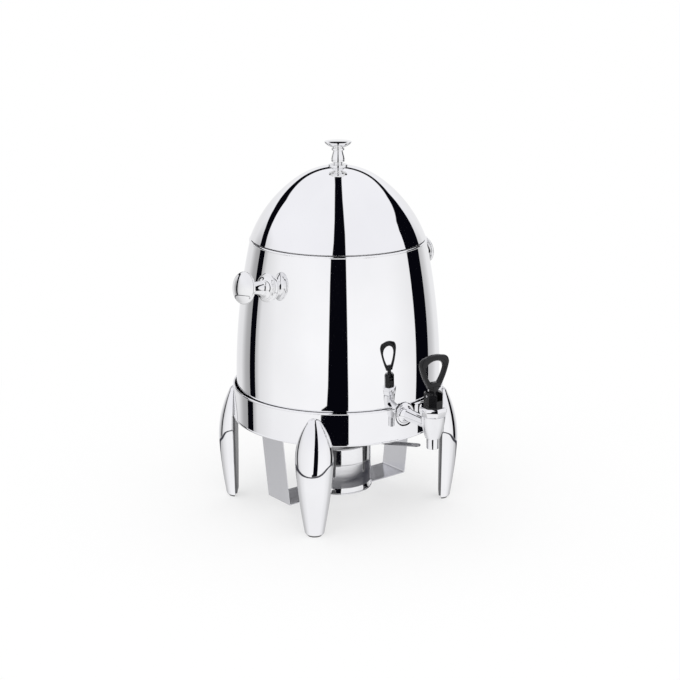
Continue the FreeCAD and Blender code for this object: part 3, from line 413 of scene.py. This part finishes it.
# The side knobs: a bell-shaped flange against the shell and a turned mushroom head, one each side.
# They stand square to the sloping wall, and their line is turned six degrees about the vessel.
knob_z, knob_turn = 352.0, 6.0
knob_tilt = math.asin((knob_z - widest_z) / body_curve)
bell = [(0, -1.2), (20.5, -1.2), (20.5, 2.0)] + bow((20.5, 2.0), (19.5, 3.6), (17.9, 4.2), 5)[1:]
bell += bow((17.4, 4.3), (12.7, 6.6), (10.7, 11.0), 9) + [(0, 11)]
head = [(0, 11), (10.7, 11), (10.7, 13), (9.5, 14.2), (8.7, 32)]
head += bow((8.7, 32.0), (11.5, 36.2), (20.0, 42.0), 10)[1:]
head += bow((20, 42), (23, 44.4), (20.6, 47.0), 8)[1:] + bow((20.6, 47.0), (11.0, 51.3), (0, 53.0), 12)[1:]
for side, tag in ((-1, "left"), (1, "right")):
    way = Vector((side * math.cos(knob_tilt), 0, math.sin(knob_tilt)))
    turned = Matrix.Rotation(math.radians(knob_turn), 4, "Z")
    moved = Matrix.Translation((side * body_r(knob_z), 0, knob_z))
    seat = turned @ moved @ way.to_track_quat("Z", "Y").to_matrix().to_4x4()
    flange = spun("knob_bell_" + tag, bell, seat, 96)
    dress(flange, polished, "vessel", "side_knob_flange_" + tag)
    knob = spun("knob_head_" + tag, head, seat, 96)
    dress(knob, polished, "vessel", "side_knob_" + tag)

# The stand ring: a polished band with a rolled edge along the top and the bottom, a flange inside
# that carries the vessel, and a notch in its top edge for the tap's shank.
stand_steel = steel("stand_steel", (0.93, 0.93, 0.94), 0.018, 0.025, (7, 7, 7), 0.015)
ring_radius, tap_z = 157.0, 173
ring_line = [(155.8, 139.0), (155.8, 137.6)] + bow((155.7, 137.6), (155.4, 135.2), (157.0, 135.2), 8)
ring_line += bow((157.1, 135.3), (157.6, 136.6), (156.7, 137.8), 5)
ring_line += [(156.7, 138.2 + i * 43.6 / 6) for i in range(7)]
ring_line += bow((156.7, 182.2), (157.6, 183.4), (157.1, 184.6), 5)
ring_line += bow((157.0, 184.8), (155.2, 184.9), (155.7, 182.4), 8)
ring_line += [(155.8, 182.0), (155.8, 140.2), (120, 140.2), (120, 139.0)]
ring = spun("ring_skin", ring_line, sides=240)
cutter_shape = bmesh.new()
notch_radius, notch_top = 18, 192
around_notch = [math.radians(180 + 6 * i) for i in range(31)]
keyhole = [(notch_radius * math.cos(a), tap_z + notch_radius * math.sin(a)) for a in around_notch]
keyhole += [(notch_radius, notch_top), (-notch_radius, notch_top)]
near = [cutter_shape.verts.new((x, -145, z)) for x, z in keyhole]
far = [cutter_shape.verts.new((x, -170, z)) for x, z in keyhole]
cutter_shape.faces.new(near)
cutter_shape.faces.new(far[::-1])
for i in range(len(near)):
    j = (i + 1) % len(near)
    cutter_shape.faces.new((near[i], far[i], far[j], near[j]))
cutter = finish_mesh("notch_cutter", cutter_shape)
cut = ring.modifiers.new("notch", "BOOLEAN")
cut.object = cutter
cut.solver = "EXACT"
notched = bpy.data.meshes.new_from_object(ring.evaluated_get(bpy.context.evaluated_depsgraph_get()))
ring.modifiers.clear()
ring.data = notched
ring.data.set_sharp_from_angle(angle=math.radians(32))
bpy.data.objects.remove(cutter)
dress(ring, stand_steel, "stand", "ring_band")


# The legs: half-round polished pressings that swell under the ring and taper to a foot and to a point.
# Each leans out a little, laps the ring's outside and is closed at the back by a plate, coloured dark grey
# as painted shade.
def read_line(parts, z):
    """The radius at one height on a chain of arcs."""
    for line in parts:
        for (r0, z0), (r1, z1) in zip(line, line[1:]):
            if z0 - 1e-6 <= z <= z1 + 1e-6:
                return r0 + (r1 - r0) * (z - z0) / (z1 - z0)
    return 0.8


foot_round = bow((10.9, 2.0), (13.4, 3.0), (14.4, 5.5), 20)
leg_width = [
    foot_round,
    bow((14.4, 5.5), (22.0, 53.0), (27.7, 109.0), 60),
    bow((27.7, 109.0), (24.8, 139.0), (11.4, 168.5), 60),
    bow((11.4, 168.5), (7.6, 173.6), (0.6, 176.0), 20),
]
leg_depth = [
    foot_round,
    bow((14.4, 5.5), (20.6, 50.0), (24.2, 93.0), 60),
    bow((24.2, 93.0), (19.7, 135.0), (7.6, 168.5), 60),
    bow((7.6, 168.5), (4.8, 173.6), (0.6, 176.0), 20),
]
leg_steps = 40


def leg_row(z):
    """Points of the leg's outer skin at one height, from one back edge to the other."""
    wide, deep = read_line(leg_width, z), read_line(leg_depth, z)
    limit = math.radians(90 if z < 135.0 else 97)
    angles = [limit * (2 * i / leg_steps - 1) for i in range(leg_steps + 1)]
    return [(wide * math.sin(a), -ring_radius - deep * math.cos(a), z) for a in angles]


leg_steel = steel("leg_steel", (0.93, 0.93, 0.94), 0.02, 0.03, (9, 9, 9), 0.015)
leg_heights = [2.0, 2.2, 2.7, 3.5, 4.5, 5.5] + [5.5 + i * 129.4 / 44 for i in range(1, 45)]
leg_heights += [135.1 + i * 33.4 / 18 for i in range(19)]
leg_heights += [169.5, 170.7, 172.0, 173.2, 174.2, 175.0, 175.6, 175.9]
leg_places = {"front_right": 50.4, "rear_right": 129.6, "rear_left": 230.4, "front_left": -50.4}
for tag, angle in leg_places.items():
    shape = bmesh.new()
    rows = [[shape.verts.new(p) for p in leg_row(z)] for z in leg_heights]
    for low_row, high_row in zip(rows, rows[1:]):
        for i in range(leg_steps):
            shape.faces.new((low_row[i], low_row[i + 1], high_row[i + 1], high_row[i]))
    foot = shape.verts.new((0, -ring_radius, 2.0))
    for i in range(leg_steps):
        shape.faces.new((rows[0][i + 1], rows[0][i], foot))
    for v in shape.verts:
        if v.co.z > 135.05:
            v.co.y = min(v.co.y, -math.sqrt(ring_radius**2 - v.co.x**2))
    leg = finish_mesh("leg_skin_" + tag, shape, Matrix.Rotation(math.radians(angle), 4, "Z"), 40)
    sheet = leg.modifiers.new("sheet", "SOLIDIFY")
    sheet.thickness = 0.0014
    sheet.offset = -1.0
    solid = bpy.data.meshes.new_from_object(leg.evaluated_get(bpy.context.evaluated_depsgraph_get()))
    leg.modifiers.clear()
    leg.data = solid
    dress(leg, leg_steel, "stand", "leg_" + tag)


# The leg backs are plates in a dark grey that is painted shade for the shaded inside of each leg, and the
# foot pads are black rubber.
# Both keep their own shapes.
def coat(name, tint, rough, grain, speck=0.15, bump=0.1):
    """A plain moulded, painted or rubber surface with a fine uneven grain."""
    mat = bpy.data.materials.new(name)
    mat.use_nodes = True
    tree = mat.node_tree
    skin = tree.nodes["Principled BSDF"]
    where = tree.nodes.new("ShaderNodeTexCoord")
    flecks = tree.nodes.new("ShaderNodeTexNoise")
    flecks.inputs["Scale"].default_value = grain
    flecks.inputs["Detail"].default_value = 6.0
    tree.links.new(where.outputs["Object"], flecks.inputs["Vector"])
    dark = tuple(t * (1 - speck) for t in tint)
    pale = tuple(min(1, t * (1 + speck)) for t in tint)
    shades = ramp(tree, flecks.outputs["Fac"], [(0.35, dark), (0.65, pale)])
    tree.links.new(shades, skin.inputs["Base Color"])
    gloss = tree.nodes.new("ShaderNodeMapRange")
    gloss.inputs["To Min"].default_value = rough * 0.8
    gloss.inputs["To Max"].default_value = rough * 1.2
    tree.links.new(flecks.outputs["Fac"], gloss.inputs["Value"])
    tree.links.new(gloss.outputs["Result"], skin.inputs["Roughness"])
    grainy = tree.nodes.new("ShaderNodeBump")
    grainy.inputs["Strength"].default_value = bump
    grainy.inputs["Distance"].default_value = 0.0004
    tree.links.new(flecks.outputs["Fac"], grainy.inputs["Height"])
    tree.links.new(grainy.outputs["Normal"], skin.inputs["Normal"])
    return mat


# The leg backs' dark grey is painted shade, standing for the shaded inside of each leg.
backs_painted_shade = coat("leg_backs_painted_shade", (0.10, 0.10, 0.105), 0.35, 60)
pad_rubber = coat("pad_rubber", (0.05, 0.05, 0.05), 0.7, 300, 0.2, 0.3)
for tag in leg_places:
    dress(nodes["leg_back_plate_" + tag], backs_painted_shade)
    dress(nodes["foot_pad_" + tag], pad_rubber)

# The shelf: one bent strap of satin steel, riveted under the ring's flange at both ends.
# Its brushed grain runs along the strap.
strap_steel = steel("strap_steel", (0.78, 0.78, 0.80), 0.22, 0.05, (5, 300, 5), 0.004)
dress(nodes["burner_shelf"], strap_steel)


# Screws and rivets: pan-headed leg screws inside the ring, two to a leg, and the strap's rivets,
# which show a head above the flange and one below the strap.
def fixings_tree(name, mat):
    """Sets a domed head and a shank on every point, along the point's own direction."""
    tree = bpy.data.node_groups.new(name, "GeometryNodeTree")
    face = tree.interface
    face.new_socket("Geometry", in_out="INPUT", socket_type="NodeSocketGeometry")
    for label in ("Head radius", "Head height", "Shank radius", "Shank length"):
        face.new_socket(label, in_out="INPUT", socket_type="NodeSocketFloat")
    face.new_socket("Geometry", in_out="OUTPUT", socket_type="NodeSocketGeometry")
    add, join = tree.nodes.new, tree.links.new
    given, result = add("NodeGroupInput"), add("NodeGroupOutput")
    dome = add("GeometryNodeMeshUVSphere")
    dome.inputs["Segments"].default_value = 24
    dome.inputs["Rings"].default_value = 12
    dome.inputs["Radius"].default_value = 1.0
    size = add("ShaderNodeCombineXYZ")
    join(given.outputs["Head radius"], size.inputs["X"])
    join(given.outputs["Head radius"], size.inputs["Y"])
    join(given.outputs["Head height"], size.inputs["Z"])
    flat = add("GeometryNodeTransform")
    join(dome.outputs["Mesh"], flat.inputs["Geometry"])
    join(size.outputs["Vector"], flat.inputs["Scale"])
    shank = add("GeometryNodeMeshCylinder")
    shank.inputs["Vertices"].default_value = 20
    join(given.outputs["Shank radius"], shank.inputs["Radius"])
    join(given.outputs["Shank length"], shank.inputs["Depth"])
    drop = add("ShaderNodeCombineXYZ")
    half = add("ShaderNodeMath")
    half.operation = "MULTIPLY"
    half.inputs[1].default_value = -0.5
    join(given.outputs["Shank length"], half.inputs[0])
    join(half.outputs[0], drop.inputs["Z"])
    lower = add("GeometryNodeTransform")
    join(shank.outputs["Mesh"], lower.inputs["Geometry"])
    join(drop.outputs["Vector"], lower.inputs["Translation"])
    both = add("GeometryNodeJoinGeometry")
    join(flat.outputs["Geometry"], both.inputs["Geometry"])
    join(lower.outputs["Geometry"], both.inputs["Geometry"])
    way = add("GeometryNodeInputNamedAttribute")
    way.data_type = "FLOAT_VECTOR"
    way.inputs["Name"].default_value = "way"
    aim = add("FunctionNodeAlignRotationToVector")
    aim.axis = "Z"
    join(way.outputs["Attribute"], aim.inputs["Vector"])
    place = add("GeometryNodeInstanceOnPoints")
    join(given.outputs["Geometry"], place.inputs["Points"])
    join(both.outputs["Geometry"], place.inputs["Instance"])
    join(aim.outputs["Rotation"], place.inputs["Rotation"])
    real = add("GeometryNodeRealizeInstances")
    join(place.outputs["Instances"], real.inputs["Geometry"])
    finish = add("GeometryNodeSetMaterial")
    finish.inputs["Material"].default_value = mat
    join(real.outputs["Geometry"], finish.inputs["Geometry"])
    join(finish.outputs["Geometry"], result.inputs["Geometry"])
    return tree


def fixings(name, tree, spots, sizes):
    """A mesh of fixings at (place, direction) spots, with sizes in metres."""
    mesh = bpy.data.meshes.new(name)
    mesh.from_pydata([p for p, _ in spots], [], [])
    way = mesh.attributes.new("way", "FLOAT_VECTOR", "POINT")
    for i, (_, d) in enumerate(spots):
        way.data[i].vector = d
    made = bpy.data.objects.new(name, mesh)
    scene.collection.objects.link(made)
    grow = made.modifiers.new("fixings", "NODES")
    grow.node_group = tree
    for item in tree.interface.items_tree:
        if item.in_out == "INPUT" and item.name in sizes:
            grow[item.identifier] = sizes[item.name]
    solid = bpy.data.meshes.new_from_object(made.evaluated_get(bpy.context.evaluated_depsgraph_get()))
    made.modifiers.clear()
    made.data = solid
    solid.shade_smooth()
    solid.set_sharp_from_angle(angle=math.radians(40))
    return made


fastener = steel("fastener_steel", (0.70, 0.70, 0.71), 0.20, 0.12, (300, 300, 300), 0.05)
fixing_tree = fixings_tree("domed_fixings", fastener)
screw_spots = []
for angle in leg_places.values():
    out = Vector((math.sin(math.radians(angle)), -math.cos(math.radians(angle)), 0))
    for z in (0.147, 0.163):
        screw_spots.append((out * 0.1558 + Vector((0, 0, z)), -out))
screw_sizes = {"Head radius": 0.0045, "Head height": 0.0022, "Shank radius": 0.0025, "Shank length": 0.009}
screws = fixings("leg_screw_heads", fixing_tree, screw_spots, screw_sizes)
dress(screws, fastener, "stand", "leg_screws")
rivet_spots = []
for x in (-0.1325, 0.1325):
    for y in (-0.015, 0.015):
        rivet_spots.append(((x, y, 0.1402), (0, 0, 1)))
        rivet_spots.append(((x, y, 0.1375), (0, 0, -1)))
rivet_sizes = {"Head radius": 0.0045, "Head height": 0.0013, "Shank radius": 0.0024, "Shank length": 0.0013}
rivets = fixings("strap_rivets", fixing_tree, rivet_spots, rivet_sizes)
dress(rivets, fastener, "stand", "shelf_rivets")

# The burner: a bright can with a rolled foot, a fuel cup inside, a lift-off cover with a round
# flame hole, and a damper plate on a rivet, whose darker tint is a painted reflection of the ring's
# underside.
can_steel = steel("can_steel", (0.88, 0.88, 0.885), 0.05, 0.05, (12, 12, 60), 0.02)
can_line = [(0, 20), (50.6, 20)] + bow((50.6, 20), (51.8, 21.0), (50.6, 22.2), 6)[1:]
can_line += [(50, 23.5), (50, 30), (50, 64.6)] + bow((50, 64.6), (49.8, 65.6), (48.9, 66), 4)[1:]
can_line += [(48.7, 66.2), (48.7, 75), (47.7, 75), (47.7, 64), (48.4, 63), (48.4, 21), (0, 21)]
dress(spun("can_skin", can_line, sides=128), can_steel, "burner", "burner_can")
cup_line = [(0, 21), (43, 21), (43, 62), (47.3, 62), (47.3, 62.8), (42.2, 62.8), (42.2, 21.8), (0, 21.8)]
dress(spun("cup_pot", cup_line, sides=96), satin, "burner", "fuel_cup")
cover_line = [(49, 66.4), (50, 66.4), (50, 89)] + bow((50, 89), (49.1, 91.1), (47, 92), 8)[1:]
cover_line += [(25, 92), (25, 91), (46, 91), (49, 88)]
dress(spun("cover_cap", cover_line, sides=128), can_steel, "burner_cover", "burner_cover")
# The damper's dark tint is painted reflection, standing for the ring's dark underside mirrored in the
# plate.
damper_painted_reflection = steel("damper_painted_reflection", (0.36, 0.36, 0.37), 0.12, 0.06, (60, 60, 60), 0.01)
dress(nodes["damper"], damper_painted_reflection)
dress(nodes["damper_rivet"], fastener)

# The tap: a chromed casting with a tapered body and spout, an arm to the wall flange, and a collar.
# The arm and the flange are turned about the shank's axis.
chrome = steel("tap_chrome", (0.91, 0.91, 0.92), 0.02, 0.03, (40, 40, 40), 0.012)
tap_reach = 215.5
tap_place = Matrix.Translation((0, -tap_reach, 0))
tap_line = [(6.5, 138.5)] + bow((8.1, 138.5), (8.6, 138.7), (8.7, 139.3), 3)
tap_line += [(8.7, 153.4), (9.2, 154), (10.3, 154)]
tap_line += bow((10.5, 154.3), (15.3, 171.5), (17.5, 187.0), 16)
tap_line += [(14, 187), (14, 172), (10, 160), (5.5, 160), (5.5, 158), (6.5, 156)]
tap_up = spun("tap_upright", tap_line, tap_place, 96)
along = Matrix.Translation((0, 0, tap_z)) @ Matrix.Rotation(math.radians(90), 4, "X")
arm_line = [(4.5, 129.9), (7, 129.9), (7, 163.1), (8.8, 163.1)]
arm_line += bow((9.4, 163.7), (8.4, 186), (10.4, 209.5), 16) + [(4.5, 209.5)]
arm = spun("tap_arm", arm_line, along, 64)
joined = bmesh.new()
joined.from_mesh(tap_up.data)
joined.from_mesh(arm.data)
joined.to_mesh(tap_up.data)
joined.free()
bpy.data.objects.remove(arm)
tap_up.data.shade_smooth()
tap_up.data.set_sharp_from_angle(angle=math.radians(32))
dress(tap_up, chrome, "vessel", "tap_body")
flange_line = [(7.1, 153.4), (15.9, 153.4), (16.5, 154.2)]
flange_line += bow((16.5, 154.2), (15.9, 156.2), (14.1, 157), 6)[1:]
flange_line += bow((12.4, 157), (10.6, 158.6), (9.8, 160.4), 6) + [(8.6, 163), (7.1, 163)]
dress(spun("wall_flange", flange_line, along, 96), chrome, "vessel", "tap_flange")


def eight_sided(name, levels, edge):
    """An eight-sided turning: (radius over corners, height) levels, each edge slightly rounded."""
    shape = bmesh.new()
    rows = []
    for r, z in levels:
        ring_row = []
        for i in range(8):
            a = math.radians(45 * (i + 0.5))
            ring_row.append(shape.verts.new((r * math.cos(a), r * math.sin(a) - tap_reach, z)))
        rows.append(ring_row)
    for low_row, high_row in zip(rows, rows[1:]):
        for i in range(8):
            shape.faces.new((low_row[i], low_row[(i + 1) % 8], high_row[(i + 1) % 8], high_row[i]))
    shape.faces.new(rows[0][::-1])
    shape.faces.new(rows[-1])
    bmesh.ops.bevel(shape, geom=list(shape.edges), offset=edge, segments=3, profile=0.6, affect="EDGES")
    return finish_mesh(name, shape, None, 24)


gland = eight_sided("gland_nut", [(17.6, 187.0), (20.8, 194.5), (20.8, 198.6), (18.4, 200.5)], 0.5)
dress(gland, chrome, "vessel", "tap_collar")

# The lever: a glossy black moulded loop with rounded bars, on a short neck and a flat tongue.
# The tongue goes down through the bonnet's slot to the pivot pin.
loop_bar, bar_sides = 8.5, 16


def loop_line(inset):
    """The loop's outline seen from the front, some way in from its outer edge."""
    half, top = 25.5 - inset, 275.0 - inset
    low, neck = 228.0 + inset * 0.5, 10.0 - inset * 0.75
    side = top - 13.0
    bulge = ((neck + half) / 2 + 1.2, (low + side) / 2 - 1.5)
    right = bow((neck, low), bulge, (half, side), 16)
    right += bow((half, side), (half - 2.0, top - 6.0), (half * 0.62, top - 2.4), 10)[1:]
    right += bow((half * 0.62, top - 2.4), (half * 0.33, top - 0.6), (0, top), 6)[1:]
    return right + [(-x, z) for x, z in right[-2::-1]] + [(-neck * k, low) for k in (0.5, 0, -0.5)]


lever_plastic = coat("lever_plastic", (0.006, 0.006, 0.007), 0.13, 90, 0.2, 0.03)
lever_plastic.node_tree.nodes["Principled BSDF"].inputs["Specular IOR Level"].default_value = 0.32
shape = bmesh.new()
loops = []
for (ox, oz), (ix, iz) in zip(loop_line(0), loop_line(loop_bar)):
    row = []
    for k in range(bar_sides):
        a = 2 * math.pi * k / bar_sides
        c = math.copysign(abs(math.cos(a)) ** 0.6, math.cos(a))
        s = math.copysign(abs(math.sin(a)) ** 0.6, math.sin(a))
        x = (ox + ix) / 2 + (ox - ix) / 2 * c
        z = (oz + iz) / 2 + (oz - iz) / 2 * c
        row.append(shape.verts.new((x, -tap_reach + 4.5 * s, z)))
    loops.append(row)
for one, two in zip(loops, loops[1:] + loops[:1]):
    for k in range(bar_sides):
        shape.faces.new((one[k], one[(k + 1) % bar_sides], two[(k + 1) % bar_sides], two[k]))


def slab(shape, x, y0, y1, z0, z1):
    """Adds a block with rounded edges, centred across, between two depths and two heights."""
    made = bmesh.ops.create_cube(shape, size=1.0)["verts"]
    for v in made:
        y = (y0 + y1) / 2 + v.co.y * (y1 - y0)
        v.co = Vector((v.co.x * 2 * x, y, (z0 + z1) / 2 + v.co.z * (z1 - z0)))
    edges = {e for v in made for e in v.link_edges}
    bmesh.ops.bevel(shape, geom=list(edges), offset=1.2, segments=4, profile=0.5, affect="EDGES")


slab(shape, 10.0, -220.0, -211.0, 226.6, 235.0)
slab(shape, 4.5, -221.0, -210.0, 213.0, 230.0)
lever = finish_mesh("lever_loop", shape, None, 50)
dress(lever, lever_plastic, "tap_lever", "tap_handle")
dress(nodes["tap_bonnet"], lever_plastic)

# Small inner pieces keep their shapes: the valve, the seals, and the fasteners.
# Seals are pale silicone rubber; the rest is plain steel.
silicone = coat("silicone", (0.40, 0.40, 0.41), 0.5, 200, 0.05, 0.1)
for name in ("tap_spacer", "tap_wall_bush", "tap_inner_gasket", "tap_seat_cup"):
    dress(nodes[name], silicone)
for name in ("side_knob_studs", "side_knob_nuts", "lid_finial_screw", "lid_finial_washer",
             "tap_lock_nut", "tap_pivot_pin", "tap_stem", "tap_spring"):
    dress(nodes[name], fastener)
